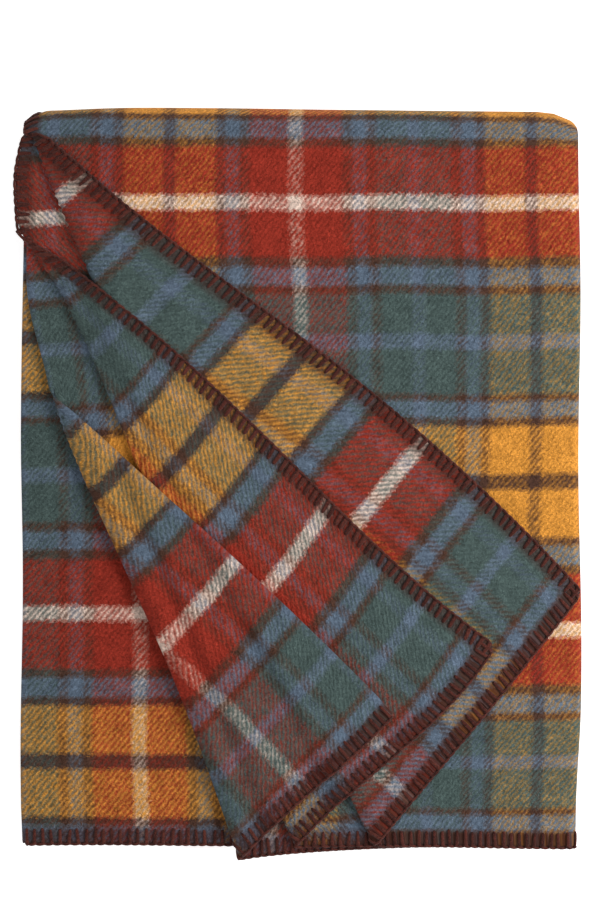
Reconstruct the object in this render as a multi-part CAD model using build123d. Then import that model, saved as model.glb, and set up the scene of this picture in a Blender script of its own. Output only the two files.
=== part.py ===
"""Folded camp blanket: one woven wool cloth, edged all round with blanket stitch.

The cloth is folded in half and in half again across its width, then the same way along its
length, so it lies sixteen layers deep. The near left corners of the upper layers are turned back
over slanting creases, and lie on the stack as a fan of three flaps.

+Z is up, +Y points from the stitched ends of the cloth to the big fold at the head, and the origin
is under the middle of the whole stack, on the surface that it lies on. All sizes are millimetres.
"""

from build123d import *
import os

# The cloth, folded to a quarter of its width and a quarter of its length
LAYER = 2.5  # thickness of one loose layer of brushed wool
QUARTER = 4 * LAYER  # four layers: one quarter of the length, folded across its width
PANEL_LEFT, PANEL_RIGHT = -165.0, 167.0
PANEL_END = -216.0  # where the cloth's two ends lie
HEAD_RADIUS = 2 * QUARTER  # outside of the big fold at the head
HEAD_LINE = 223.5 - HEAD_RADIUS  # where flat cloth turns into the folds at the head
FOOT_LINE = PANEL_END + 4.0 + QUARTER  # where flat cloth turns into the hidden fold at the foot

# Blanket stitch: the yarn that lies along the rim of the cloth
RIM = 2.0

# Heights of the layers, from the surface up
TOP_OF_THIRD = QUARTER
TOP_OF_SECOND = 2 * QUARTER
TOP_OF_FIRST = 3 * QUARTER
TOP_OF_INNER_PAIR = TOP_OF_FIRST + 2 * LAYER
TOP_OF_UPPER = TOP_OF_INNER_PAIR + LAYER
TOP_OF_STACK = TOP_OF_UPPER + LAYER

# Creases that the corners are turned back over, and where each turned corner comes to lie
TOP_CREASE = [(-165.0, HEAD_LINE), (41.0, PANEL_END)]
TOP_CORNER = (165.0, -66.0)
UPPER_CREASE = [(-165.0, 150.0), (-148.0, 120.0), (-123.0, 65.0), (-3.0, PANEL_END)]
UPPER_CORNER = (113.0, -95.0)
INNER_EDGE = [(-165.0, 125.0), (-158.0, 70.0), (-150.0, 53.0)]
INNER_CREASE = [(-150.0, 53.0), (-123.0, -11.0), (-90.0, -93.0), (-60.0, -157.0), (-37.0, PANEL_END)]
INNER_CORNER = (52.0, -136.0)
INNER_TIP = (-35.0, -221.5)

FAR = 600.0  # longer than anything here


def slab(low, high, near=PANEL_END, far=HEAD_LINE):
    """A flat bundle of layers as wide as the folded cloth."""
    width, length, height = PANEL_RIGHT - PANEL_LEFT, far - near, high - low
    place = Pos((PANEL_LEFT + PANEL_RIGHT) / 2, (near + far) / 2, low)
    return place * Box(width, length, height, align=(Align.CENTER, Align.CENTER, Align.MIN))


def sheet(outline, low, high):
    """An upright prism on a closed outline of plan points."""
    face = make_face(Polyline(*outline, close=True))
    return Pos(0, 0, low) * extrude(face, high - low, dir=(0, 0, 1))


def left_of(line):
    """The plan region on the left of a line that runs down the sheet, far out to the side."""
    first, last = line[0], line[-1]
    return [(first[0], FAR), *line, (last[0], -FAR), (-FAR, -FAR), (-FAR, FAR)]


def bend(line, centre_height, outer, inner, towards_head):
    """Half a round fold along X: a half ring, or a half disc where the inner radius is 0."""
    width = PANEL_RIGHT - PANEL_LEFT
    ring = Cylinder(outer, width, rotation=(0, 90, 0))
    if inner > 0:
        ring -= Cylinder(inner, width, rotation=(0, 90, 0))
    keep = Pos(0, outer if towards_head else -outer, 0) * Box(2 * width, 2 * outer, 4 * outer)
    return Pos((PANEL_LEFT + PANEL_RIGHT) / 2, line, centre_height) * (ring & keep)


def shifted(line, distance):
    """A line moved along X, to the left where the distance is negative."""
    return [(x + distance, y) for x, y in line]


def stepped(outline, line, low, high, thickness):
    """A sheet that lies low on the left of a line, and steps up to lie high on its right."""
    left = left_of(line)
    whole = sheet(outline, low, high + thickness)
    low_part = whole & sheet(left, low, low + thickness)
    high_part = (whole - sheet(left, low, FAR)) & sheet(outline, high, high + thickness)
    riser = (whole & sheet(left, low, FAR)) - sheet(left_of(shifted(line, -thickness)), low, FAR)
    return low_part + high_part + riser


def upper_steps(outline):
    """The upper layer's flap, over the top layer and its flap."""
    return stepped(outline, TOP_CREASE, TOP_OF_UPPER, TOP_OF_STACK + LAYER, LAYER)


def inner_steps(outline):
    """The inner pair's flap, first over the upper layer and its flap, then over the top one's."""
    pair = 2 * LAYER
    middle, over = TOP_OF_UPPER + LAYER, TOP_OF_STACK + pair
    halfway = left_of(shifted(TOP_CREASE, -5 * LAYER))
    left = stepped(outline, UPPER_CREASE, TOP_OF_INNER_PAIR, middle, pair)
    right = stepped(outline, shifted(TOP_CREASE, -LAYER), middle, over, pair)
    return (left & sheet(halfway, 0, FAR)) + (right - sheet(halfway, 0, FAR))


def rim_outline(start, end):
    """Plan of the yarn along one straight run of the rim, on the right-hand side of the run."""
    (x0, y0), (x1, y1) = start, end
    side = Vector(y1 - y0, x0 - x1).normalized() * RIM
    return [start, end, (x1 + side.X, y1 + side.Y), (x0 + side.X, y0 + side.Y)]


def lower_cloth():
    """The three lower quarters of the cloth's length, and the folds that join the quarters."""
    return {
        "third_quarter": slab(0, TOP_OF_THIRD, near=FOOT_LINE),
        "second_quarter": slab(TOP_OF_THIRD, TOP_OF_SECOND, near=FOOT_LINE),
        "first_quarter": slab(TOP_OF_SECOND, TOP_OF_FIRST),
        "foot_fold": bend(FOOT_LINE, TOP_OF_THIRD, QUARTER, 0, towards_head=False),
        "inner_head_fold": bend(HEAD_LINE, TOP_OF_SECOND, QUARTER, 0, towards_head=True),
        "outer_head_fold": bend(HEAD_LINE, TOP_OF_SECOND, HEAD_RADIUS, QUARTER, towards_head=True),
    }


def upper_cloth():
    """The last quarter's four layers, up to the creases where their corners turn back."""
    inner_cut = left_of([*INNER_EDGE, *INNER_CREASE[1:]])
    inner_pair = slab(TOP_OF_FIRST, TOP_OF_INNER_PAIR) - sheet(inner_cut, 0, FAR)
    upper = slab(TOP_OF_INNER_PAIR, TOP_OF_UPPER) - sheet(left_of(UPPER_CREASE), 0, FAR)
    top = slab(TOP_OF_UPPER, TOP_OF_STACK) - sheet(left_of(TOP_CREASE), 0, FAR)
    return {"inner_pair_panel": inner_pair, "upper_panel": upper, "top_panel": top}


def flaps():
    """The three turned-back flaps, the top layer's lowest and the inner pair's highest."""
    return {
        "top_flap": sheet([*TOP_CREASE, TOP_CORNER], TOP_OF_STACK, TOP_OF_STACK + LAYER),
        "upper_flap": upper_steps([*UPPER_CREASE, UPPER_CORNER]),
        "inner_pair_flap": inner_steps([*INNER_CREASE, INNER_TIP, INNER_CORNER]),
    }


def end_stitching():
    """Blanket stitch along the two ends of the cloth, one node for each run at its own height."""
    first, last = (PANEL_LEFT, PANEL_END), (PANEL_RIGHT, PANEL_END)
    runs = {
        "stitch_first_quarter_end": (first, TOP_OF_SECOND, TOP_OF_FIRST),
        "stitch_inner_pair_end": (INNER_CREASE[-1], TOP_OF_FIRST, TOP_OF_INNER_PAIR),
        "stitch_upper_end": (UPPER_CREASE[-1], TOP_OF_INNER_PAIR, TOP_OF_UPPER),
        "stitch_top_end": (TOP_CREASE[-1], TOP_OF_UPPER, TOP_OF_STACK),
    }
    return {name: sheet(rim_outline(start, last), low, high) for name, (start, low, high) in runs.items()}


def flap_stitching():
    """Blanket stitch on the flaps: their long sides, and their short ends."""
    low, high = TOP_OF_STACK, TOP_OF_STACK + LAYER
    return {
        "stitch_top_flap_side": sheet(rim_outline(TOP_CORNER, TOP_CREASE[0]), low, high),
        "stitch_top_flap_end": sheet(rim_outline(TOP_CREASE[-1], TOP_CORNER), low, high),
        "stitch_upper_flap_side": upper_steps(rim_outline(UPPER_CORNER, UPPER_CREASE[0])),
        "stitch_upper_flap_end": upper_steps(rim_outline(UPPER_CREASE[-1], UPPER_CORNER)),
        "stitch_inner_pair_flap_end": inner_steps(rim_outline(INNER_TIP, INNER_CORNER)),
    }


def side_stitching():
    """Blanket stitch down the left side, on each pair of stitched edges below the flaps."""
    outline = rim_outline((PANEL_LEFT, HEAD_LINE), (PANEL_LEFT, FOOT_LINE))
    pairs = {
        "stitch_side_first_quarter": 2 * QUARTER,
        "stitch_side_second_quarter": QUARTER + 2 * LAYER,
        "stitch_side_third_quarter": 0,
    }
    return {name: sheet(outline, low, low + 2 * LAYER) for name, low in pairs.items()}


def main():
    os.makedirs("parts", exist_ok=True)
    nodes = {**lower_cloth(), **upper_cloth(), **flaps()}
    nodes |= {**end_stitching(), **flap_stitching(), **side_stitching()}
    for name, shape in nodes.items():
        export_step(shape, f"parts/{name}.step")


main()
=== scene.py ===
"""The looks of the folded camp blanket: one tartan cloth, folded layer by layer, and its stitching.

The cloth is a sheet with coordinates u across its width and v along its length. fold() takes any
point of the sheet to its place in the folded stack: the width folds in four, the length folds in
four, and near the foot the left corners of the last quarter turn back over slanting creases. The
mesh, the tartan and the blanket stitch are all laid out on the flat sheet and then folded. All
sizes are metres.
"""

import math

import bpy
import numpy as np
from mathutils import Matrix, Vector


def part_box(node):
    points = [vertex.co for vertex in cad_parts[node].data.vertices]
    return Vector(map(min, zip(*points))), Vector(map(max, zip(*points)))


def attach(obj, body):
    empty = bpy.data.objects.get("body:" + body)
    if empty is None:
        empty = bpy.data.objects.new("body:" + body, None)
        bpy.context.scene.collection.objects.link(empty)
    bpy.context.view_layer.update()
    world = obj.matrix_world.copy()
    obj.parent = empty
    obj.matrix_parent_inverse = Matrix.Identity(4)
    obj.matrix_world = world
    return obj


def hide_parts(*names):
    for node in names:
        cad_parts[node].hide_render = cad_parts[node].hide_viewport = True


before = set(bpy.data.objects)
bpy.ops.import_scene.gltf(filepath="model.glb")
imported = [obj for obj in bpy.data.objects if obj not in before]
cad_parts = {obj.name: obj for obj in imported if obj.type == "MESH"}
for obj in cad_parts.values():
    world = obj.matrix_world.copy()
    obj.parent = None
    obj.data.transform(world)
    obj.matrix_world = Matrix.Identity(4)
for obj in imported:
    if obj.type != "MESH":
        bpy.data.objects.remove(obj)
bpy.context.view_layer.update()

RANDOM = np.random.default_rng(7)

# ---------------------------------------------------------------------------------------------
# Places, read from the frame
# ---------------------------------------------------------------------------------------------
LOWEST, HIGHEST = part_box("third_quarter")
LAYER = (HIGHEST[2] - LOWEST[2]) / 4  # one layer of cloth with its share of the air between
QUARTER = 4 * LAYER  # four layers
BEND_ROUND = 0.6  # how deep a fold of the stack is along Y, for its height
HEAD_ROUND = 0.78  # the same for the outer fold at the head, which bulges more
LEFT_OUT, END_OUT = 0.0005, 0.0016  # how far the cloth reaches past the CAD's flat panels
LEFT = LOWEST[0] - LEFT_OUT
RIGHT = HIGHEST[0]
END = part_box("first_quarter")[0][1] - END_OUT
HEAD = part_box("outer_head_fold")[1][1] - BEND_ROUND * 2 * QUARTER
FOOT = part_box("foot_fold")[0][1] + BEND_ROUND * QUARTER
STACK_TOP = 4 * QUARTER

# ---------------------------------------------------------------------------------------------
# The flat cloth, and how it is folded
# ---------------------------------------------------------------------------------------------
CLOTH_WIDTH = 1.351
CLOTH_LENGTH = 1.8145
CLOTH_THICK = 0.0022
HEAD_WRAP = 0.053  # length of cloth in the outer fold at the head
INNER_WRAP = 0.012  # and in the fold inside it
FOOT_WRAP = 0.018  # and in the hidden fold at the foot
LAYERS_BELOW = 12  # layers under the last quarter
ARC_STEPS = 10
CURVE_STEPS = 60


def arc(centre, radius, start, end):
    """Points round a centre, from one angle to another, in degrees."""
    angles = np.radians(np.linspace(start, end, ARC_STEPS + 1))
    return [(centre[0] + radius * math.cos(a), centre[1] + radius * math.sin(a)) for a in angles]


TURN = RIGHT - 1.5 * LAYER  # where flat cloth turns into the folds on the right
FOLD = LEFT + 0.5 * LAYER  # and into the fold on the left
ACROSS = np.array([
    (LEFT, 3.5 * LAYER),
    *arc((TURN, 2 * LAYER), 1.5 * LAYER, 90, -90),
    *arc((FOLD, LAYER), 0.5 * LAYER, -90, -270),
    *arc((TURN, 2 * LAYER), 0.5 * LAYER, -90, 90),
    (LEFT, 2.5 * LAYER),
])
ACROSS_AT = np.concatenate([[0.0], np.cumsum(np.hypot(*np.diff(ACROSS, axis=0).T))])
PANEL_STARTS = ACROSS_AT[[0, 1 + ARC_STEPS, 2 + 2 * ARC_STEPS, 3 + 3 * ARC_STEPS]]
PANEL_ENDS = ACROSS_AT[[1, 2 + ARC_STEPS, 3 + 2 * ARC_STEPS, 4 + 3 * ARC_STEPS]]
MIDDLE = (ACROSS_AT[2 + ARC_STEPS] + ACROSS_AT[2 + 2 * ARC_STEPS]) / 2
TOP_PANEL, INNER_BACK, INNER_FRONT, UPPER_PANEL = range(4)


def path_length(u):
    """How far along the folded path across the stack a point of the cloth's width lies."""
    return np.interp(u, [0, CLOTH_WIDTH / 2, CLOTH_WIDTH], [0, MIDDLE, ACROSS_AT[-1]])


def width_at(s):
    """The cloth coordinate u at a distance along the folded path."""
    return np.interp(s, [0, MIDDLE, ACROSS_AT[-1]], [0, CLOTH_WIDTH / 2, CLOTH_WIDTH])


FIRST_FLAT = HEAD - END
BREAKS_V = [0.0, FIRST_FLAT, FIRST_FLAT + INNER_WRAP]
LAST_START = CLOTH_LENGTH - FIRST_FLAT
MIDDLE_FLAT = (LAST_START - HEAD_WRAP - FOOT_WRAP - BREAKS_V[2]) / 2
BREAKS_V += [BREAKS_V[2] + MIDDLE_FLAT, BREAKS_V[2] + MIDDLE_FLAT + FOOT_WRAP]
BREAKS_V += [LAST_START - HEAD_WRAP, LAST_START, CLOTH_LENGTH]


def smooth(x):
    """0 below 0, 1 above 1, and a smooth rise between."""
    t = np.clip(x, 0.0, 1.0)
    return t * t * (3 - 2 * t)


def past(x, place, run):
    """0 up to a place, rising smoothly to 1 over the run beyond it."""
    return smooth((x - place) / run)


def short_of(x, place, run):
    """0 from a place onwards, rising smoothly to 1 over the run before it."""
    return smooth((place - x) / run)


def through(x, points):
    """A smooth curve through a few points (x, value), level at each of them."""
    xs, values = np.array(points).T
    i = np.clip(np.searchsorted(xs, x) - 1, 0, len(xs) - 2)
    t = smooth((x - xs[i]) / (xs[i + 1] - xs[i]))
    return values[i] + (values[i + 1] - values[i]) * t


def bezier(t, points):
    """A cubic curve with four control points, carried straight on before its start."""
    t = np.asarray(t)[..., None]
    p = np.array(points)
    inside = np.maximum(t, 0.0)
    curve = ((1 - inside) ** 3 * p[0] + 3 * inside * (1 - inside) ** 2 * p[1]
             + 3 * inside**2 * (1 - inside) * p[2] + inside**3 * p[3])
    return curve + np.minimum(t, 0.0) * 3 * (p[1] - p[0])


def along(v, h):
    """Fold the length in four: y and z of a point v along the cloth and h up in its bundle."""
    k = np.clip(np.searchsorted(BREAKS_V, v, side="right") - 1, 0, 6)
    starts, ends = np.array(BREAKS_V)[:-1], np.array(BREAKS_V)[1:]
    t = (v - starts[k]) / (ends[k] - starts[k])
    swing, rise = np.sin(math.pi * t), np.cos(math.pi * t)
    y = np.choose(k, [
        END + (HEAD - END) * t,
        HEAD + BEND_ROUND * (QUARTER - h) * swing,
        HEAD + (FOOT - HEAD) * t,
        FOOT - BEND_ROUND * h * swing,
        FOOT + (HEAD - FOOT) * t,
        HEAD + HEAD_ROUND * (QUARTER + h) * swing,
        HEAD + (END - HEAD) * t,
    ])
    z = np.choose(k, [
        3 * QUARTER - h,
        2 * QUARTER + (QUARTER - h) * rise,
        QUARTER + h,
        QUARTER + h * rise,
        QUARTER - h,
        2 * QUARTER - (QUARTER + h) * rise,
        3 * QUARTER + h,
    ])
    return y, z


# ---------------------------------------------------------------------------------------------
# The turned-back corners. Each has a crease, and the long side and short end of its flap, from the
# corner outwards. Each is a line between two places, with how far it stands off straight at one
# third and at two thirds of its way, but the upper crease has four control points. pull is how far the cloth beside the crease is drawn along with it, at
# places along the stack, and hang how far the foot of the crease hangs over the cloth's end. A
# turned layer lies at pivot less its height in its bundle, and over_upper and over_top are how much
# it rises where it crosses the creases of the two layers beneath.
# ---------------------------------------------------------------------------------------------
def bowed(start, finish, third, two_thirds):
    """A cubic curve that stands off the line between two places, to the left of its run."""
    start, finish = np.array(start), np.array(finish)
    run = finish - start
    left = np.array([-run[1], run[0]]) / np.hypot(*run)
    # how far its inner control points stand off, for the curve to stand off as given
    first, second = 3 * third - 1.5 * two_thirds, 3 * two_thirds - 1.5 * third
    return [start, start + run / 3 + left * first, start + run * 2 / 3 + left * second, finish]


def curve_length(points):
    """Length of a cubic curve, along short steps."""
    return float(np.hypot(*np.diff(bezier(np.linspace(0, 1, CURVE_STEPS), points), axis=0).T).sum())


TOP_CORNER, TOP_FOOT, TOP_HEAD = (0.168, -0.065), (0.045, -0.218), (-0.165, 0.219)
UPPER_CORNER, UPPER_FOOT, UPPER_HEAD = (0.115, -0.097), (0.008, -0.214), (-0.171, 0.150)
INNER_CORNER, INNER_TIP, INNER_HEAD = (0.054, -0.137), (-0.034, -0.225), (-0.150, 0.053)
TOP_FLAP = {
    "crease": bowed(TOP_HEAD, TOP_FOOT, -0.007, -0.0035),
    "side": bowed(TOP_CORNER, TOP_HEAD, -0.0085, -0.002),
    "end": bowed(TOP_CORNER, TOP_FOOT, 0.0, 0.0),
    "pull": [(-0.218, 0.009), (0.219, 0.0)],
    "hang": 0.0,
    "pivot": 20 * LAYER,
    "over_upper": 0,
    "over_top": 0,
}
UPPER_FLAP = {
    "crease": [(-0.171, 0.150), (-0.128, 0.105), (-0.100, 0.010), (-0.003, -0.217)],
    "side": bowed(UPPER_CORNER, UPPER_HEAD, -0.0005, -0.0075),
    "end": bowed(UPPER_CORNER, UPPER_FOOT, 0.005, 0.002),
    "pull": [(-0.218, -0.004), (0.12, 0.0), (0.150, -0.006), (0.185, -0.0085), (0.219, -0.002)],
    "hang": 0.0,
    "pivot": 18 * LAYER,
    "over_upper": 0,
    "over_top": 2 * LAYER,
}
INNER_FLAP = {
    "crease": bowed(INNER_HEAD, INNER_TIP, 0.001, 0.003),
    "side": bowed(INNER_CORNER, INNER_HEAD, -0.003, -0.003),
    "end": bowed(INNER_CORNER, INNER_TIP, 0.002, 0.001),
    "pull": [(-0.218, 0.006), (0.035, 0.014), (0.053, 0.0155), (0.126, 0.0)],
    "hang": 0.0075,
    "pivot": 16 * LAYER,
    "over_upper": 2 * LAYER,
    "over_top": 2 * LAYER,
}
for corner in (TOP_FLAP, UPPER_FLAP, INNER_FLAP):
    corner["side_length"] = curve_length(corner["side"])
    corner["end_length"] = curve_length(corner["end"])
FLAP_OF = {
    TOP_PANEL: TOP_FLAP, UPPER_PANEL: UPPER_FLAP, INNER_FRONT: INNER_FLAP, INNER_BACK: INNER_FLAP,
}
CREASE_HALF = 0.0035  # half the width of cloth that turns round in a crease
CREASE_RISE = 0.008  # half the width over which it rises to lie flat on the stack
CREASE_BULGE = 0.0014  # how much higher than the flap its soft crease stands
CREASE_SLANT = 0.91  # distance square to a slanting crease, for a distance along X
BULGE_HALF = 0.007
CREASE_ENDS = (HEAD + 0.004, 0.012)  # where the creases die out at the head, and over how much
PAST_CREASE = 0.6  # how fast a crease leaves to the left, beyond its top
LEAST_WIDTH = 0.006  # least width that the gap between a flap and its crease is shared over
PULL_FADES = 0.07
HANG_FADES_UP, HANG_FADES_ACROSS = 0.05, 0.045
STEP_RUN = 0.012  # how far a flap takes to ride up over a crease below it
STEP_SHIFT = 0.25 * LAYER


def crease_x(flap, y):
    """Where the crease lies at a place along the stack; past its top it leaves to the left."""
    points = bezier(np.linspace(0, 1, CURVE_STEPS), flap["crease"])
    x = np.interp(y, points[::-1, 1], points[::-1, 0])
    return x - PAST_CREASE * np.maximum(y - points[0, 1], 0.0)


def flap_place(flap, x, d):
    """Plan place on a flap of a point x across and d from the cloth's end, from its two edges."""
    side = bezier(d / flap["side_length"], flap["side"])
    end = bezier((x - LEFT) / flap["end_length"], flap["end"])
    return side + end - np.array(flap["side"][0])


def turned_back(flap, x, d, h):
    """Where a point x across and d from the cloth's end lies once its corner is turned back.

    The flap's two edges and its crease are all given, so what is left between the flap and the
    crease is taken up evenly over the width of the flap.
    """
    crease = crease_x(flap, d + END)
    start = crease - through(d + END, flap["pull"])
    gap = np.stack([crease, d + END], axis=-1) - flap_place(flap, start, d)
    share = np.clip((x - LEFT) / np.maximum(start - LEFT, LEAST_WIDTH), 0, 1)
    place = flap_place(flap, x, d) + gap * share[..., None]
    px, py = place[..., 0], place[..., 1]
    z = flap["pivot"] - h
    shift = STEP_SHIFT * (z / LAYER - LAYERS_BELOW)
    for below, rise in ((UPPER_FLAP, flap["over_upper"]), (TOP_FLAP, flap["over_top"])):
        beside = px - crease_x(below, py)
        z = z + rise * smooth((beside + STEP_RUN + shift) / STEP_RUN)
    return px, py, z


def with_flap(flap, x, y, z, h):
    """Turn back the corner of one layer of the last quarter, and draw the cloth to its crease."""
    pull = through(y, flap["pull"])
    crease = crease_x(flap, y)
    s = CREASE_SLANT * (x - (crease - pull))
    fx, fy, fz = turned_back(flap, x, y - END, h)
    below_head = short_of(y, *CREASE_ENDS)
    turned = smooth(0.5 - s / (2 * CREASE_HALF)) * below_head
    risen = smooth(0.5 - s / (2 * CREASE_RISE)) * below_head
    fz = fz + CREASE_BULGE * np.exp(-((s + CREASE_RISE) / BULGE_HALF) ** 2) * below_head
    drawn = x + pull * np.exp(-np.maximum(s, 0.0) / PULL_FADES)
    hang = flap["hang"] * np.exp(-(y - END) / HANG_FADES_UP - np.abs(s) / HANG_FADES_ACROSS)
    return (
        drawn * (1 - turned) + fx * turned,
        y * (1 - turned) + fy * turned - hang,
        z * (1 - risen) + fz * risen,
    )


# Slack of the whole stack. A pair is a place, and the run over which a change is felt beyond it.
FLOOR_LIFT = 0.0012  # the yarn at the rims of the lowest layer lies on the floor, not in it
SUNK_SHARE = 0.24  # how much lower the upper left part of the stack lies
SUNK_LEFT_OF, SUNK_ABOVE = (-0.100, 0.065), (0.01, 0.09)
SWELL = 0.0006
SWELLS = [(1.0, 23, 9, 0.6), (1.0, -17, 14, 2.1), (0.5, 55, 31, 0.0), (0.5, -38, 47, 1.3)]
DROOP_SHARE, DROOP_FADES = 0.05, 0.014
HEAD_OUT = 0.012  # how far the rim at the head lies past where flat cloth ends
HEAD_SHAPED = 0.006  # how far short of the flat cloth's end the head begins to be rounded off
RIGHT_CORNER, RIGHT_CORNER_OUT = 0.026, 0.003  # radius of a rounded corner, and how far out it ends
LEFT_CORNER, LEFT_CORNER_OUT = 0.018, 0.004
CORNER_CUT = 0.75  # share of the head's bulge that is gone at a corner
RIGHT_CUT, RIGHT_CUT_FROM = 0.12, (0.02, 0.13)  # and towards the right of the head
TAPER, TAPER_RIGHT_OF, TAPER_BELOW = 0.003, (0.08, 0.08), (-0.13, 0.08)  # of the lower right edge
SIDE_WAVE, END_WAVE = 0.0007, 0.0006  # how unevenly the layers lie, all but the lowest


def swelling(x, y):
    """Soft swells of the stack's top, as a sum of slanting waves: size, waves along X and Y, phase."""
    return sum(size * np.sin(a * x + b * y + phase) for size, a, b, phase in SWELLS)


def head_cut(x):
    """Share of the head's bulge that is gone: most at its round corners, a little on the right."""
    beside_right = np.clip(1 - (RIGHT + RIGHT_CORNER_OUT - x) / RIGHT_CORNER, 0, 1)
    beside_left = np.clip(1 - (x - LEFT + LEFT_CORNER_OUT) / LEFT_CORNER, 0, 1)
    rounded = 2 - np.sqrt(1 - beside_right**2) - np.sqrt(1 - beside_left**2)
    return CORNER_CUT * rounded + RIGHT_CUT * past(x, *RIGHT_CUT_FROM)


def settle(x, y, z):
    """The whole stack's slack: soft swells of its top, uneven edges, and a droop at its rims."""
    z = z * (1 - SUNK_SHARE * short_of(x, *SUNK_LEFT_OF) * past(y, *SUNK_ABOVE))
    share = z / STACK_TOP
    rim = np.minimum(np.minimum(x - LEFT, RIGHT - x), np.minimum(y - END, HEAD - y + HEAD_OUT))
    droop = DROOP_SHARE * np.exp(-np.maximum(rim, 0.0) / DROOP_FADES)
    z = FLOOR_LIFT * (1 - share) + z * (1 - droop * share) + SWELL * swelling(x, y) * share**2
    y = y - np.maximum(y - (HEAD - HEAD_SHAPED), 0.0) * head_cut(x)
    x = x - TAPER * past(x, *TAPER_RIGHT_OF) * short_of(y, *TAPER_BELOW)
    x = x + SIDE_WAVE * np.sin(31 * y + 130 * z) * smooth(share * 3)
    y = y + END_WAVE * np.sin(27 * x + 170 * z) * smooth(share * 3)
    return x, y, z


LOWER_SIDES_IN = 0.004  # how much further in the stitched sides of the lower quarters lie
LOWER_RUN, STITCHED_FADES = 0.02, 0.02
FIRST_OUT, FIRST_OUT_FADES, FIRST_RUN = 0.0022, 0.04, 0.03  # how far out its left fold lies


def fold(u, v):
    """The folded place of points of the flat cloth, on the sheet's middle surface."""
    u, v = np.broadcast_arrays(np.asarray(u, float), np.asarray(v, float))
    s = path_length(u)
    x, h = np.interp(s, ACROSS_AT, ACROSS[:, 0]), np.interp(s, ACROSS_AT, ACROSS[:, 1])
    y, z = along(v, h)
    last = v >= LAST_START - 1e-9
    x, y, z = x.copy(), y.copy(), z.copy()
    pair_start = (PANEL_ENDS[TOP_PANEL] + PANEL_STARTS[INNER_BACK]) / 2
    pair_end = (PANEL_ENDS[INNER_FRONT] + PANEL_STARTS[UPPER_PANEL]) / 2
    for flap, part in (
        (TOP_FLAP, s < pair_start),
        (INNER_FLAP, (s >= pair_start) & (s <= pair_end)),
        (UPPER_FLAP, s > pair_end),
    ):
        m = last & part
        x[m], y[m], z[m] = with_flap(flap, x[m], y[m], z[m], h[m])
    lower = short_of(v, LAST_START - HEAD_WRAP / 2, LOWER_RUN)
    stitched = np.exp(-np.minimum(s, ACROSS_AT[-1] - s) / STITCHED_FADES)
    x = x + LOWER_SIDES_IN * lower * stitched
    first = short_of(v, BREAKS_V[1], FIRST_RUN) * (1 - stitched)
    x = x - FIRST_OUT * first * np.exp(-(x - LEFT) / FIRST_OUT_FADES)
    return np.stack(settle(x, y, z), axis=-1)


# ---------------------------------------------------------------------------------------------
# The cloth's mesh: columns and rows of the flat sheet, closer at folds, creases and edges
# ---------------------------------------------------------------------------------------------
EDGE_STEPS = [0.0, 0.0006, 0.0018, 0.004, 0.0075]  # rings beside a stitched edge
FLAT_COLUMNS, CREASE_COLUMNS, FOLD_COLUMNS = 30, 15, 8
CREASE_BAND = 1.25 * CREASE_RISE  # half the width of the finer columns beside a crease
EDGE_ROOM, TURN_ROOM = 0.02, 0.05  # least room for the plain columns on each side of that band
KEEP_EVERY = 3  # of the fine columns on the flats, one in this many goes on into the coarse rows
HEAD_ROWS, LAST_ROWS, FIRST_ROWS, HIDDEN_ROWS, HIDDEN_FOLD_ROWS = 16, 88, 30, 24, 8
PRESSED_SHARE, PRESSED_FROM = 0.62, (0.006, 0.006)  # thickness left under the stitches
ROUND_EDGE, LEAST_ROUND = 0.0018, 0.12


def panel_columns(panel, y):
    """Cloth coordinates u of one panel's columns at a row y of the last quarter."""
    flap = FLAP_OF[panel]
    low = LEFT + EDGE_STEPS[-1] if panel in (TOP_PANEL, UPPER_PANEL) else FOLD
    middle = float(crease_x(flap, y) - through(y, flap["pull"]))
    middle = min(max(middle, low + EDGE_ROOM + CREASE_BAND), TURN - TURN_ROOM)
    x = np.concatenate([
        np.linspace(low, middle - CREASE_BAND, FLAT_COLUMNS, endpoint=False),
        np.linspace(middle - CREASE_BAND, middle + CREASE_BAND, CREASE_COLUMNS, endpoint=False),
        np.linspace(middle + CREASE_BAND, TURN, FLAT_COLUMNS),
    ])
    if panel in (TOP_PANEL, UPPER_PANEL):
        x = np.concatenate([LEFT + np.array(EDGE_STEPS[:-1]), x])
    start = PANEL_STARTS[panel]
    if panel in (TOP_PANEL, INNER_FRONT):
        s = start + (x - x[0])
    else:
        s = start + (TURN - x[::-1])
    return width_at(np.clip(s, start, PANEL_ENDS[panel]))


def row_columns(y):
    """Cloth coordinates u of a whole row, panels and the folds between them."""
    parts = []
    for panel in range(4):
        parts.append(panel_columns(panel, y))
        if panel < 3:
            turn = np.linspace(PANEL_ENDS[panel], PANEL_STARTS[panel + 1], FOLD_COLUMNS + 2)
            parts.append(width_at(turn[1:-1]))
    return np.concatenate(parts)


def fine_rows():
    """v of the rows in the head fold and the last quarter."""
    bend = np.linspace(BREAKS_V[5], BREAKS_V[6], HEAD_ROWS, endpoint=False)
    flat = np.linspace(BREAKS_V[6], CLOTH_LENGTH - EDGE_STEPS[-1], LAST_ROWS)
    return np.concatenate([bend, flat, CLOTH_LENGTH - np.array(EDGE_STEPS[-2::-1])])


def coarse_rows():
    """v of the rows in the first three quarters."""
    b = BREAKS_V
    return np.concatenate([
        np.array(EDGE_STEPS[:-1]),
        np.linspace(EDGE_STEPS[-1], b[1], FIRST_ROWS, endpoint=False),
        np.linspace(b[1], b[2], HIDDEN_FOLD_ROWS, endpoint=False),
        np.linspace(b[2], b[3], HIDDEN_ROWS, endpoint=False),
        np.linspace(b[3], b[4], HIDDEN_FOLD_ROWS, endpoint=False),
        np.linspace(b[4], b[5], HIDDEN_ROWS, endpoint=False),
    ])


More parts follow.
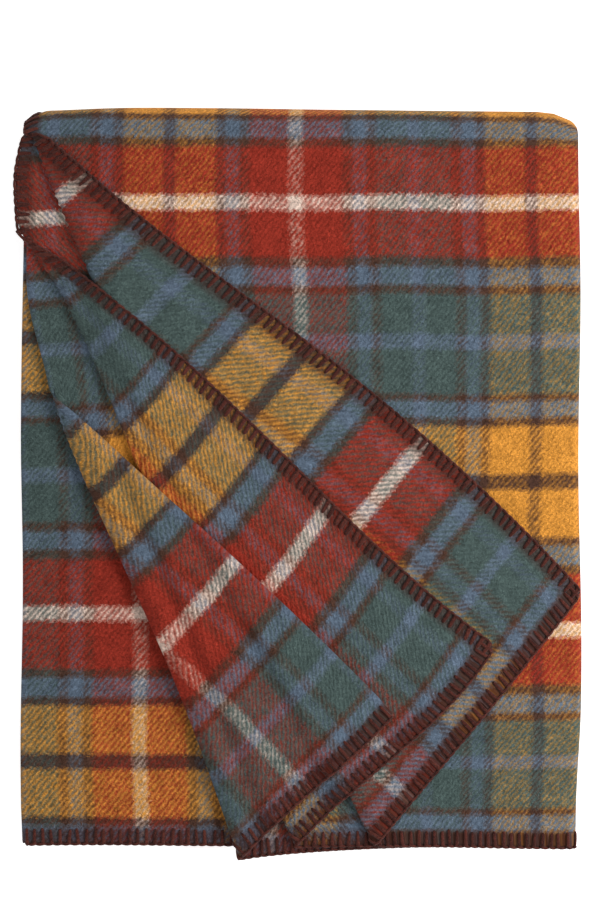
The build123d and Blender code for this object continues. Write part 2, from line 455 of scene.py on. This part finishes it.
def kept_columns(counts):
    """Which of the fine columns go on into the coarse rows: all by a stitched edge, fewer elsewhere."""
    keep, at = [], 0
    edge = len(EDGE_STEPS) - 1
    for panel, n in enumerate(counts):
        first = edge if panel == TOP_PANEL else 0
        last = n - edge if panel == UPPER_PANEL else n
        keep += [at + i for i in range(first)]
        keep += [at + i for i in range(first, last, KEEP_EVERY)]
        keep += [at + i for i in range(last, n)] + [at + n - 1]
        at += n
        if panel < 3:
            keep += list(range(at, at + FOLD_COLUMNS, 2))
            at += FOLD_COLUMNS
    return sorted(set(keep))


def strip(previous, row, count):
    """Faces between two rows of as many points."""
    return [(previous + i, previous + i + 1, row + i + 1, row + i) for i in range(count - 1)]


def cloth_grid():
    """Points (u, v) of the flat cloth and the faces between them."""
    fine_v, coarse_v = fine_rows(), coarse_rows()
    counts = [len(panel_columns(panel, HEAD)) for panel in range(4)]
    top_row = row_columns(HEAD)
    keep = kept_columns(counts)
    assert keep[-1] == len(top_row) - 1
    points, faces, previous = [], [], None
    for v in coarse_v:
        row = len(points)
        points += [(top_row[i], v) for i in keep]
        if previous is not None:
            faces += strip(previous, row, len(keep))
        previous = row
    row = len(points)
    points += [(u, fine_v[0]) for u in top_row]
    for i, (a, b) in enumerate(zip(keep, keep[1:])):
        faces.append((previous + i, previous + i + 1, *range(row + b, row + a - 1, -1)))
    for v in fine_v[1:]:
        y = min(HEAD, END + CLOTH_LENGTH - v)
        previous, row = row, len(points)
        points += [(u, v) for u in row_columns(y)]
        faces += strip(previous, row, len(top_row))
    return np.array(points), faces


def vertex_normals(points, faces):
    """Unit normals of a mesh's points, from the faces round each."""
    normals = np.zeros_like(points)
    for size in sorted({len(f) for f in faces}):
        f = np.array([face for face in faces if len(face) == size])
        turn = np.zeros((len(f), 3))
        for i in range(1, size - 1):
            turn += np.cross(points[f[:, i]] - points[f[:, 0]], points[f[:, i + 1]] - points[f[:, 0]])
        for i in range(size):
            np.add.at(normals, f[:, i], turn)
    return normals / np.maximum(np.linalg.norm(normals, axis=1, keepdims=True), 1e-12)


def edge_distance(u, v):
    """How far a point of the flat cloth is from the nearest of its edges."""
    return np.minimum(np.minimum(u, CLOTH_WIDTH - u), np.minimum(v, CLOTH_LENGTH - v))


def half_thickness(u, v):
    """Half the cloth's thickness: pressed by the stitches, and rounded off at the rim."""
    from_edge = edge_distance(u, v)
    pressed = PRESSED_SHARE + (1 - PRESSED_SHARE) * past(from_edge, *PRESSED_FROM)
    rounded = np.sqrt(np.clip(1 - (1 - np.clip(from_edge / ROUND_EDGE, 0, 1)) ** 2, LEAST_ROUND, 1))
    return CLOTH_THICK / 2 * pressed * rounded


def new_mesh(name, points, faces, material):
    """An object made of points and faces, smooth shaded, with one material."""
    mesh = bpy.data.meshes.new(name)
    mesh.from_pydata(points.tolist(), [], faces)
    mesh.update()
    mesh.shade_smooth()
    mesh.materials.append(material)
    obj = bpy.data.objects.new(name, mesh)
    bpy.context.scene.collection.objects.link(obj)
    return obj


def boundary_loop(faces):
    """Edges with one face, each in the direction that its face runs."""
    seen = {}
    for f in faces:
        for a, b in zip(f, f[1:] + f[:1]):
            seen[(a, b)] = True
    return [(a, b) for a, b in seen if (b, a) not in seen]


ALONG_REPEAT, ALONG_START = 0.2575, 0.0505
# How the check lies off even, so that it shows on each layer where it should. A pair is a place on
# the cloth, and the run over which a change is felt beyond it.
LAST_BLEND_BEFORE, LAST_BLEND = 0.05, 0.06  # how the last quarter's shifts set in
DRIFT_AT_HEAD, DRIFT_AT_END = -0.0006, 0.0024  # of the last quarter's columns, between two places
DRIFT_FROM, DRIFT_TO = (0.05, 0.15), (0.55, 0.2)
DRIFT_BELOW = 0.0015  # of all columns of the quarters below
# The rows crowd together towards the last end: by how much, and between which distances from it
CROWDED_BY, CROWDED_TO, CROWDED_FROM = 0.0085, 0.015, 0.09
FIRST_LEAD, FIRST_LEAD_RUN = 0.0025, 0.05  # lead of the rows on the first quarter
HIGH = (0.25, 0.08)  # distance from the last end past which a flap is near its head
PAIR_FROM, PAIR_TO = (0.34, 0.05), (0.99, 0.05)  # the inner pair of layers
PAIR_LAG = 0.008
# Beside its fold the pair's lag sets in over a width, which narrows with the distance from the end
PAIR_WIDTH, PAIR_NARROWED, PAIR_LEAST = 0.125, 0.26, 0.01
UPPER_FROM = (0.99, 0.05)  # the upper layer, whose lag sets in over a width beside its edge
UPPER_LAG, UPPER_LAG_HIGH, UPPER_WIDTH = 0.004, 0.0045, 0.08
WAVE, RIPPLE = 0.0008, 0.0004
LAST_ROW_BACK = 0.037
LAST_ROW = ALONG_START + 7 * ALONG_REPEAT - LAST_ROW_BACK  # in the dark row beside the last blue one


def last_quarter(v):
    """1 on the last quarter but for its first centimetre, and 0 well before it."""
    return smooth((v - LAST_START + LAST_BLEND_BEFORE) / LAST_BLEND)


def drift_across(u, v):
    """How far the columns of the check lie aside, towards greater u."""
    last = last_quarter(v)
    inner = past(u, *DRIFT_FROM) * short_of(u, *DRIFT_TO)
    t = (v - LAST_START) / FIRST_FLAT
    drift = last * inner * (DRIFT_AT_HEAD + (DRIFT_AT_END - DRIFT_AT_HEAD) * t)
    return drift + DRIFT_BELOW * (1 - last)


def lead_along(u, v):
    """How far the rows of the check run ahead, which brings them nearer to the first end."""
    last, from_end = last_quarter(v), CLOTH_LENGTH - v
    high = past(from_end, *HIGH)
    lead = CROWDED_BY * (1 - smooth((from_end - CROWDED_TO) / (CROWDED_FROM - CROWDED_TO)))
    lead = lead + FIRST_LEAD * short_of(v, BREAKS_V[1], FIRST_LEAD_RUN)
    width = np.maximum(PAIR_WIDTH * (1 - from_end / PAIR_NARROWED), PAIR_LEAST)
    beside_fold = np.clip(np.abs(u - CLOTH_WIDTH / 2) / width, 0, 1)
    pair = past(u, *PAIR_FROM) * short_of(u, *PAIR_TO)
    lead = lead - PAIR_LAG * last * pair * np.maximum(beside_fold * (1 - high), high)
    upper = last * past(u, *UPPER_FROM) * (UPPER_LAG + UPPER_LAG_HIGH * high)
    return lead - upper * smooth((CLOTH_WIDTH - u) / UPPER_WIDTH + high)


def woven(uv):
    """Cloth coordinates as the weave has them: a check is never quite straight or even."""
    u, v = uv[:, 0], uv[:, 1]
    wave_u = WAVE * np.sin(19 * v + 3 * u) + RIPPLE * np.sin(71 * v)
    wave_v = WAVE * np.sin(17 * u + 5 * v) + RIPPLE * np.sin(63 * u)
    along_weave = np.minimum(v + lead_along(u, v) + wave_v, LAST_ROW)
    return np.stack([u - drift_across(u, v) + wave_u, along_weave], axis=1)


def make_cloth(material):
    """The whole folded cloth, as a closed sheet with its real thickness."""
    uv, faces = cloth_grid()
    middle = fold(uv[:, 0], uv[:, 1])
    normals = vertex_normals(middle, faces)
    up = normals * half_thickness(uv[:, 0], uv[:, 1])[:, None]
    n = len(uv)
    points = np.concatenate([middle + up, middle - up])
    back = [tuple(i + n for i in reversed(f)) for f in faces]
    rim = [(b, a, a + n, b + n) for a, b in boundary_loop(faces)]
    obj = new_mesh("wool_cloth", points, faces + back + rim, material)
    rim_distance = edge_distance(uv[:, 0], uv[:, 1])
    edge = obj.data.attributes.new("from_edge", "FLOAT", "POINT")
    edge.data.foreach_set("value", np.concatenate([rim_distance, rim_distance]).astype(np.float32))
    layer = obj.data.uv_layers.new(name="cloth")
    index = np.empty(len(obj.data.loops), dtype=np.int32)
    obj.data.loops.foreach_get("vertex_index", index)
    flat = np.concatenate([woven(uv), woven(uv)])
    layer.data.foreach_set("uv", flat[index].astype(np.float32).ravel())
    return obj


# ---------------------------------------------------------------------------------------------
# Blanket stitch
# ---------------------------------------------------------------------------------------------
PITCH = 0.0051
# Length of a stitch's leg, and half the yarn's width where it lies flat: the two sides are sewn
# with shorter stitches, and the two ends with longer and fuller ones
SIDE_STITCH = {"leg": 0.0076, "wide": 0.00128}
END_STITCH = {"leg": 0.0086, "wide": 0.00108}
YARN_HIGH = 0.0005  # half its height there
# Along a leg: how far in from the edge, height over the cloth's middle, and share of its width
LEG_FRONT = [
    (1.00, 0.0001, 0.40), (0.96, 0.0011, 0.75), (0.84, 0.0014, 0.95), (0.5, 0.0015, 1.0),
    (0.12, 0.00125, 1.05),
]
LEG_BACK = [
    (0.92, 0.0001, 0.35), (0.88, 0.0010, 0.60), (0.74, 0.0013, 0.80), (0.45, 0.0014, 1.00),
    (0.12, 0.00125, 1.10),
]
RIM_PATH = [(-0.0006, 0.0009), (-0.0011, 0.0), (-0.0006, -0.0009)]
RIM_WIDTH = 1.2  # share of its width there
# Unevenness of hand work, as standard deviations: of a stitch's place, its reach and its slant
PLACE_ASTRAY, REACH_ASTRAY, SLANT_ASTRAY = 0.0003, 0.05, 0.0004
PURL_OUT, PURL_ARCH, PURL_SWING = 0.0009, 0.0005, 0.0009  # how the yarn runs between two stitches
PURL_WIDE, PURL_HIGH = 0.0009, 0.0010
YARN_SIDES = 6
INSET_FOR_INWARD = 0.002


def tubes(paths, wide, high, sides):
    """Tubes along many paths at once, flattened across a given direction. paths is (n, k, 3)."""
    n, k, _ = paths.shape
    tangent = np.gradient(paths, axis=1)
    tangent /= np.linalg.norm(tangent, axis=2, keepdims=True) + 1e-12
    given = wide["across"][:, None, :]
    across = given - tangent * (tangent * given).sum(2, keepdims=True)
    across /= np.linalg.norm(across, axis=2, keepdims=True) + 1e-12
    over = np.cross(tangent, across)
    angle = np.linspace(0, 2 * math.pi, sides, endpoint=False)
    half_wide = np.broadcast_to(wide["size"], k)[None, :, None]
    ring = (np.cos(angle)[None, None, :, None] * (across * half_wide)[:, :, None, :]
            + np.sin(angle)[None, None, :, None] * (over * high)[:, :, None, :])
    points = (paths[:, :, None, :] + ring).reshape(-1, 3)
    faces = []
    for tube in range(n):
        base = tube * k * sides
        for i in range(k - 1):
            a = base + i * sides
            for j in range(sides):
                b = (j + 1) % sides
                faces.append((a + j, a + b, a + sides + b, a + sides + j))
        faces.append(tuple(range(base + sides - 1, base - 1, -1)))
        faces.append(tuple(range(base + (k - 1) * sides, base + k * sides)))
    return points, faces


def edge_point(edge, along_edge, inset):
    """u and v of a point inset from one of the cloth's four edges."""
    if edge == "left":
        return inset, along_edge
    if edge == "right":
        return CLOTH_WIDTH - inset, along_edge
    if edge == "start":
        return along_edge, inset
    return along_edge, CLOTH_LENGTH - inset


def surface(edge, at, inset):
    """Folded place and front normal of points inset from an edge."""
    step = 0.0004
    u, v = edge_point(edge, at, inset)
    u, v = np.clip(u, step, CLOTH_WIDTH - step), np.clip(v, step, CLOTH_LENGTH - step)
    du = fold(u + step, v) - fold(u - step, v)
    dv = fold(u, v + step) - fold(u, v - step)
    normal = np.cross(dv, du)
    normal /= np.linalg.norm(normal, axis=-1, keepdims=True) + 1e-12
    return fold(u, v), normal


def stitch_places(edge):
    """Where the stitches of one edge are, a little uneven as hand work is."""
    length = CLOTH_LENGTH if edge in ("left", "right") else CLOTH_WIDTH
    count = int(length / PITCH)
    at = (np.arange(count) + 0.5) * length / count
    return at + RANDOM.normal(0, PLACE_ASTRAY, count)


def unit(vectors):
    """Each vector of a list at length 1."""
    return vectors / np.linalg.norm(vectors, axis=1, keepdims=True)


def stitch_legs(edge, at, size, rim, rim_normal, inward):
    """Paths of the legs of one edge's stitches, each from the front round the rim to the back."""
    n = len(at)
    reach = size["leg"] * RANDOM.normal(1, REACH_ASTRAY, n)
    slant = RANDOM.normal(0, SLANT_ASTRAY, n)
    front, back = [], []
    for path, points, side in ((LEG_FRONT, front, 1), (LEG_BACK, back, -1)):
        for share, height, _ in path:
            place, normal = surface(edge, at + slant * share, reach * share)
            points.append(place + normal * height * side)
    round_rim = [rim + inward * d + rim_normal * height for d, height in RIM_PATH]
    return np.stack(front + round_rim + back[::-1], axis=1)


def purl_runs(rim, rim_normal, inward):
    """Paths of the yarn that runs along the rim from each stitch to the next."""
    purl = []
    for share in np.linspace(-0.2, 1.2, 7):
        base = rim[:-1] * (1 - share) + rim[1:] * share
        out = PURL_OUT + PURL_ARCH * math.sin(math.pi * share)
        up = PURL_SWING * math.cos(math.pi * share)
        purl.append(base - inward[:-1] * out + rim_normal[:-1] * up)
    return np.stack(purl, axis=1)


def make_stitching(name, edge, material):
    """The blanket stitch of one edge: a leg round the rim for each stitch, and the purl between."""
    size = END_STITCH if edge in ("start", "end") else SIDE_STITCH
    at = stitch_places(edge)
    rim, rim_normal = surface(edge, at, np.zeros_like(at))
    inside, _ = surface(edge, at, np.full_like(at, INSET_FOR_INWARD))
    inward, ahead = unit(inside - rim), unit(np.gradient(rim, axis=0))
    legs = stitch_legs(edge, at, size, rim, rim_normal, inward)
    purl = purl_runs(rim, rim_normal, inward)
    shares = [w for _, _, w in LEG_FRONT] + [RIM_WIDTH] * len(RIM_PATH)
    shares += [w for _, _, w in reversed(LEG_BACK)]
    leg_width = {"across": ahead, "size": np.array(shares) * size["wide"]}
    leg_points, leg_faces = tubes(legs, leg_width, YARN_HIGH, YARN_SIDES)
    purl_width = {"across": inward[:-1], "size": PURL_WIDE}
    purl_points, purl_faces = tubes(purl, purl_width, PURL_HIGH, YARN_SIDES)
    faces = leg_faces + [tuple(i + len(leg_points) for i in f) for f in purl_faces]
    obj = new_mesh(name, np.concatenate([leg_points, purl_points]), faces, material)
    tone = obj.data.attributes.new("tone", "FLOAT", "POINT")
    leg_tone = np.repeat(RANDOM.random(len(legs)), legs.shape[1] * YARN_SIDES)
    purl_tone = np.repeat(RANDOM.random(len(purl)), purl.shape[1] * YARN_SIDES)
    tone.data.foreach_set("value", np.concatenate([leg_tone, purl_tone]).astype(np.float32))
    return obj


# ---------------------------------------------------------------------------------------------
# Materials
# ---------------------------------------------------------------------------------------------
def linear(r, g, b):
    """A display colour of 0 to 255 as the linear colour that a shader takes."""
    share = [c / 255 for c in (r, g, b)]
    return (*[c / 12.92 if c <= 0.04045 else ((c + 0.055) / 1.055) ** 2.4 for c in share], 1.0)


# Dyes as display colours from 0 to 1, and how strongly each shows against the others. Brushed yarns
# of two dyes blend by how they look, not by how much light they give off, so the cloth mixes these
# and turns the result linear at the end.
DYES = {
    "red": (0.545, 0.194, 0.150, 0.63),
    "mustard": (0.790, 0.530, 0.228, 0.50),
    "green": (0.283, 0.338, 0.328, 0.59),
    "blue": (0.352, 0.404, 0.466, 0.56),
    "dark": (0.300, 0.215, 0.180, 0.56),
    "cream": (0.845, 0.745, 0.685, 0.55),
}
DISPLAY_GAMMA = 2.2
# One repeat of the check across the cloth from the middle of a green block, and one along it from
# the middle of a mustard block: each stripe's dye and its width in millimetres
ACROSS_CHECK = [
    ("blue", 3.5), ("green", 19.5), ("dark", 5.5), ("blue", 9), ("dark", 5.5), ("mustard", 24),
    ("dark", 8), ("mustard", 24), ("dark", 5.5), ("blue", 9), ("dark", 5.5), ("red", 24),
    ("cream", 9), ("red", 24), ("dark", 5.5), ("blue", 9), ("dark", 5.5), ("green", 19.5),
    ("blue", 3.5),
]
ALONG_CHECK = [
    ("dark", 4.5), ("mustard", 29.5), ("dark", 5), ("blue", 12), ("dark", 5), ("red", 28.5),
    ("cream", 9), ("red", 28.5), ("dark", 5.5), ("blue", 11.5), ("dark", 5.5), ("green", 23.5),
    ("blue", 9), ("green", 27.5), ("dark", 4), ("blue", 10), ("dark", 5), ("mustard", 29),
    ("dark", 4.5),
]
ACROSS_REPEAT, ACROSS_START = 0.219, 0.0174
FIBRE_TONE, CLOUDY_TONE = 0.85, 0.30  # how much the tone varies with its hairs, and in clouds
SOFT_EDGE = 0.0008
FUZZ = 0.006  # how far the brushed hairs carry a stripe's edge to and fro, all told
TWILL_ACROSS, TWILL_ALONG = 0.0036, 0.0043  # spacing of the twill lines along u and along v
WEFT_SHARE = 0.67  # how much of the weft shows, against the warp
PATCHY, CLOUDED = 0.8, 0.6  # how much that share varies in small patches, and in wider ones
TWILL_SHARE, TWILL_TONE = 0.19, 0.03  # what a twill line adds to the weft's share, and to the tone
FIRST_QUARTER_SHADE = 0.05  # painted shade: how much darker the first quarter's tone is made, for the shade it lies in at the lower left below the turned-back flaps
STRAND_FROM, STRAND_TONE = 0.58, 1.6  # pale strands: where they start in their noise, and how pale
# Scales of the noises, from the finest to the widest
PATCH_SCALE, FIBRE_SCALE, HAIR_SCALE, STRAND_SCALE = 520, 480, 420, 330
RAGGED_SCALE, WIDE_SCALE, CLOUD_SCALE = 260, 240, 90
# Loose fibres of the stitching's yarn that cling to the cloth between its legs, and painted shade there:
# the cloth beside its edges is darkened between the legs
LINT_AND_SHADE = (0.24, 0.11, 0.09, 1)
LINT_AND_SHADE_REACH, LINT_AND_SHADE_MOST = 0.011, 0.42
LINT_AND_SHADE_TUFTED, LINT_AND_SHADE_LEAST = 1.6, 0.2  # how unevenly the lint and the painted shade lie
# Wool gives hardly any gloss
CLOTH_LOOK = {"Roughness": 0.95, "Specular IOR Level": 0.05, "Sheen Weight": 0.05, "Sheen Roughness": 0.5}
YARN_LOOK = {"Roughness": 0.9, "Specular IOR Level": 0.15, "Sheen Weight": 0.08}
YARN_HAIR_SCALE, YARN_PLY_SCALE = 900, 400
YARN_CONTRAST, YARN_TONE, YARN_DEPTH = 2.0, 0.35, -0.75  # of its hairs, between stitches, and overall


class Nodes:
    """A short way to build a shader: each method adds a node and gives its output."""

    def __init__(self, name):
        self.material = bpy.data.materials.new(name)
        self.material.use_nodes = True
        self.tree = self.material.node_tree
        self.shader = self.tree.nodes["Principled BSDF"]

    def put(self, socket, value):
        """Link an output to a socket, or set a plain value on it."""
        if isinstance(value, bpy.types.NodeSocket):
            self.tree.links.new(value, socket)
        else:
            socket.default_value = value

    def look(self, values):
        """Set plain values on the shader."""
        for name, value in values.items():
            self.shader.inputs[name].default_value = value

    def math(self, operation, a, b=0.0, c=0.0):
        node = self.tree.nodes.new("ShaderNodeMath")
        node.operation = operation
        for socket, value in zip(node.inputs, (a, b, c)):
            self.put(socket, value)
        return node.outputs[0]

    def noise(self, vector, scale, detail=2.0, distortion=0.0):
        node = self.tree.nodes.new("ShaderNodeTexNoise")
        self.put(node.inputs["Vector"], vector)
        node.inputs["Scale"].default_value = scale
        node.inputs["Detail"].default_value = detail
        node.inputs["Distortion"].default_value = distortion
        return node.outputs["Fac"]

    def mix(self, share, a, b, blend="MIX"):
        node = self.tree.nodes.new("ShaderNodeMix")
        node.data_type = "RGBA"
        node.blend_type = blend
        node.clamp_factor = True
        self.put(node.inputs[0], share)
        self.put(node.inputs[6], a)
        self.put(node.inputs[7], b)
        return node.outputs[2]

    def vector(self, x, y, z=0.0):
        node = self.tree.nodes.new("ShaderNodeCombineXYZ")
        for socket, value in zip(node.inputs, (x, y, z)):
            self.put(socket, value)
        return node.outputs[0]

    def gamma(self, colour, power):
        node = self.tree.nodes.new("ShaderNodeGamma")
        self.put(node.inputs[0], colour)
        node.inputs[1].default_value = power
        return node.outputs[0]

    def scaled(self, value, factor, offset):
        return self.math("MULTIPLY_ADD", value, factor, offset)

    def bump(self, height, strength, distance):
        node = self.tree.nodes.new("ShaderNodeBump")
        node.inputs["Strength"].default_value = strength
        node.inputs["Distance"].default_value = distance
        self.put(node.inputs["Height"], height)
        self.tree.links.new(node.outputs[0], self.shader.inputs["Normal"])

    def stripes(self, at, check):
        """Colours and strengths of the dyes along one repeat, from a coordinate of 0 to 1."""
        node = self.tree.nodes.new("ShaderNodeValToRGB")
        ramp = node.color_ramp
        ramp.interpolation = "CONSTANT"
        total, reached = sum(width for _, width in check), 0.0
        for i, (dye, width) in enumerate(check):
            stop = ramp.elements[0] if i == 0 else ramp.elements.new(reached / total)
            stop.color = DYES[dye]
            reached += width
        ramp.elements.remove(ramp.elements[-1])  # the stop at 1 that a new ramp comes with
        self.put(node.inputs[0], at)
        return node.outputs

    def soft_stripes(self, place, check, repeat, start):
        """Stripes of a check at a place in metres, with edges as soft as brushed wool's."""
        found = []
        for shift in (-SOFT_EDGE, SOFT_EDGE):
            at = self.scaled(place, 1 / repeat, 10 - (start + shift) / repeat)
            found.append(self.stripes(self.math("FRACT", at), check))
        colour = self.mix(0.5, found[0][0], found[1][0])
        return colour, self.scaled(self.math("ADD", found[0][1], found[1][1]), 0.5, 0.0)


def check_colour(n, u, v, hairs, ridge):
    """The colour of the check, as the twill brings the warp or the weft to the top.

    The third coordinate of each noise's place only keeps the noises apart from one another.
    """
    more_hairs = n.noise(n.vector(v, u, 0.37), HAIR_SCALE, 2.0, 1.0)
    warp_at = n.scaled(hairs, FUZZ, n.math("SUBTRACT", u, FUZZ / 2))
    weft_at = n.scaled(more_hairs, FUZZ, n.math("SUBTRACT", v, FUZZ / 2))
    warp, warp_strength = n.soft_stripes(warp_at, ACROSS_CHECK, ACROSS_REPEAT, ACROSS_START)
    weft, weft_strength = n.soft_stripes(weft_at, ALONG_CHECK, ALONG_REPEAT, ALONG_START)
    patches = n.noise(n.vector(u, v, 0.9), PATCH_SCALE, 2.0, 1.0)
    wide = n.noise(n.vector(u, v, 0.4), WIDE_SCALE, 1.0, 1.0)
    balance = n.scaled(patches, PATCHY, WEFT_SHARE - PATCHY / 2)
    balance = n.scaled(wide, CLOUDED, n.math("SUBTRACT", balance, CLOUDED / 2))
    stronger = n.math("SUBTRACT", weft_strength, warp_strength)
    return n.mix(n.scaled(ridge, TWILL_SHARE, n.math("ADD", balance, stronger)), warp, weft)


def cloth_tone(n, place, u, v, fibre, ridge):
    """How light the brushed wool is: hairs, clouds, twill lines, a few pale strands, and painted shade on
    the first quarter.
    """
    cloudy = n.noise(place, CLOUD_SCALE, 3.0)
    # painted shade: the first quarter, seen low at the lower left below the flaps, is made darker
    first_quarter = n.math("LESS_THAN", v, FIRST_FLAT)
    base = n.scaled(first_quarter, -FIRST_QUARTER_SHADE, 1 - FIBRE_TONE / 2 - CLOUDY_TONE / 2)
    tone = n.scaled(fibre, FIBRE_TONE, n.scaled(cloudy, CLOUDY_TONE, base))
    tone = n.scaled(ridge, TWILL_TONE, tone)
    strand = n.math("SUBTRACT", n.noise(n.vector(u, v, 0.6), STRAND_SCALE, 2.0, 5.0), STRAND_FROM)
    return n.scaled(n.math("MAXIMUM", strand, 0.0), STRAND_TONE, tone)


def lint_and_shade_share(n, hairs):
    """How much of the stitching's lint and of the painted shade between its legs shows on the cloth
    beside its edges.
    """
    edge = n.tree.nodes.new("ShaderNodeAttribute")
    edge.attribute_name = "from_edge"
    lint_and_shade = n.math("SUBTRACT", 1.0, n.math("DIVIDE", edge.outputs["Fac"], LINT_AND_SHADE_REACH))
    lint_and_shade = n.math("MINIMUM", n.math("MAXIMUM", lint_and_shade, 0.0), LINT_AND_SHADE_MOST)
    return n.math("MULTIPLY", lint_and_shade, n.scaled(hairs, LINT_AND_SHADE_TUFTED, LINT_AND_SHADE_LEAST))


def cloth_material():
    """Brushed 2/2 twill in the tartan check."""
    n = Nodes("wool_twill")
    uv = n.tree.nodes.new("ShaderNodeUVMap")
    uv.uv_map = "cloth"
    place = uv.outputs[0]
    split = n.tree.nodes.new("ShaderNodeSeparateXYZ")
    n.put(split.inputs[0], place)
    u, v = split.outputs[0], split.outputs[1]
    hairs = n.noise(place, HAIR_SCALE, 2.0, 1.0)
    fibre = n.noise(n.vector(u, v, 0.2), FIBRE_SCALE, 4.0, 1.5)
    turns = n.math("ADD", n.math("DIVIDE", u, TWILL_ACROSS), n.math("DIVIDE", v, TWILL_ALONG))
    ragged = n.scaled(n.noise(place, RAGGED_SCALE, 2.0, 0.5), 1.0, turns)
    ridge = n.math("SINE", n.math("MULTIPLY", ragged, 2 * math.pi))
    tone = cloth_tone(n, place, u, v, fibre, ridge)
    shaded = n.mix(1.0, check_colour(n, u, v, hairs, ridge), n.vector(tone, tone, tone), "MULTIPLY")
    # painted shade and lint: the cloth beside its edges is darkened towards the yarn's colour
    shaded = n.mix(lint_and_shade_share(n, hairs), shaded, LINT_AND_SHADE)
    n.put(n.shader.inputs["Base Color"], n.gamma(shaded, DISPLAY_GAMMA))
    n.bump(n.scaled(ridge, 0.15, n.scaled(fibre, 1.0, hairs)), 0.7, 0.0012)
    n.look(CLOTH_LOOK)
    return n.material


YARN_DARK, YARN_PALE = linear(38, 15, 12), linear(104, 52, 42)


def yarn_material():
    """Thick plied maroon-brown wool yarn."""
    n = Nodes("stitch_yarn_wool")
    tone = n.tree.nodes.new("ShaderNodeAttribute")
    tone.attribute_name = "tone"
    place = n.tree.nodes.new("ShaderNodeTexCoord")
    hair = n.noise(place.outputs["Object"], YARN_HAIR_SCALE, 3.0, 1.5)
    ply = n.noise(place.outputs["Object"], YARN_PLY_SCALE, 1.0)
    mixed = n.scaled(hair, YARN_CONTRAST, n.scaled(tone.outputs["Fac"], YARN_TONE, YARN_DEPTH))
    colour = n.mix(mixed, YARN_DARK, YARN_PALE)
    n.put(n.shader.inputs["Base Color"], colour)
    n.bump(n.math("ADD", hair, ply), 0.7, 0.0005)
    n.look(YARN_LOOK)
    return n.material


# ---------------------------------------------------------------------------------------------
# Floor, light and camera
# ---------------------------------------------------------------------------------------------
FLOOR_HALF = 3
FLOOR_GREYS = (0.93, 0.93, 0.93, 1), (0.95, 0.95, 0.95, 1)
FLOOR_GLOW = 0.62
SKY = 0.45


def make_floor():
    """A plain pale floor under the blanket."""
    mesh = bpy.data.meshes.new("floor")
    half = FLOOR_HALF
    corners = [(-half, -half, 0), (half, -half, 0), (half, half, 0), (-half, half, 0)]
    mesh.from_pydata(corners, [], [(0, 1, 2, 3)])
    obj = bpy.data.objects.new("floor", mesh)
    bpy.context.scene.collection.objects.link(obj)
    n = Nodes("pale_floor")
    coordinates = n.tree.nodes.new("ShaderNodeTexCoord")
    speck = n.noise(coordinates.outputs["Object"], 40, 2.0)
    n.put(n.shader.inputs["Base Color"], n.mix(speck, *FLOOR_GREYS))
    n.shader.inputs["Roughness"].default_value = 0.8
    n.shader.inputs["Emission Color"].default_value = (1, 1, 1, 1)
    n.shader.inputs["Emission Strength"].default_value = FLOOR_GLOW
    mesh.materials.append(n.material)


def area_light(name, place, size, power):
    """A square softbox that points at the origin."""
    data = bpy.data.lights.new(name, "AREA")
    data.size = size
    data.energy = power
    obj = bpy.data.objects.new(name, data)
    bpy.context.scene.collection.objects.link(obj)
    obj.location = place
    direction = -np.array(place)
    level = math.hypot(direction[0], direction[1])
    obj.rotation_euler = (math.atan2(level, -direction[2]), 0, math.atan2(-direction[0], direction[1]))


def make_light():
    """Soft, nearly shadowless studio light, stronger from the right."""
    world = bpy.data.worlds.new("studio")
    world.use_nodes = True
    background = world.node_tree.nodes["Background"]
    background.inputs[0].default_value = (1, 1, 1, 1)
    background.inputs[1].default_value = SKY
    bpy.context.scene.world = world
    area_light("key", place=(1.4, 0.1, 1.15), size=0.8, power=27.5)
    area_light("fill", place=(-1.0, -0.4, 1.6), size=1.2, power=5)


CAMERA_HEIGHT = 1.65
CAMERA_X, CAMERA_Y = -0.0003, 0.0201
VIEW_LENGTH = 0.54  # what the picture's height takes in, at the top of the stack
SENSOR = 36.0


def make_camera():
    """Straight down from above, with the head of the stack at the top of the picture."""
    data = bpy.data.cameras.new("camera")
    data.sensor_fit = "VERTICAL"
    data.sensor_height = SENSOR
    data.lens = SENSOR * (CAMERA_HEIGHT - STACK_TOP) / VIEW_LENGTH
    obj = bpy.data.objects.new("camera", data)
    bpy.context.scene.collection.objects.link(obj)
    obj.location = (CAMERA_X, CAMERA_Y, CAMERA_HEIGHT)
    bpy.context.scene.camera = obj


# Each row of stitching: its name, its edge of the cloth, and the CAD runs that it stands for
STITCHING = [
    ("stitching_left_side", "left", [
        "stitch_top_flap_side", "stitch_side_first_quarter", "stitch_side_second_quarter",
        "stitch_side_third_quarter",
    ]),
    ("stitching_right_side", "right", ["stitch_upper_flap_side"]),
    ("stitching_first_end", "start", ["stitch_first_quarter_end"]),
    ("stitching_last_end", "end", [
        "stitch_inner_pair_end", "stitch_upper_end", "stitch_top_end", "stitch_top_flap_end",
        "stitch_upper_flap_end", "stitch_inner_pair_flap_end",
    ]),
]


def main():
    make_floor()
    make_light()
    make_camera()
    bpy.context.scene.view_settings.view_transform = "Standard"
    cloth = make_cloth(cloth_material())
    yarn = yarn_material()
    stitching = [make_stitching(name, edge, yarn) for name, edge, _ in STITCHING]
    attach(cloth, "root")
    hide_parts(*[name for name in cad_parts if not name.startswith("stitch_")])
    for piece, (_, _, nodes) in zip(stitching, STITCHING):
        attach(piece, "root")
        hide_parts(*nodes)


main()
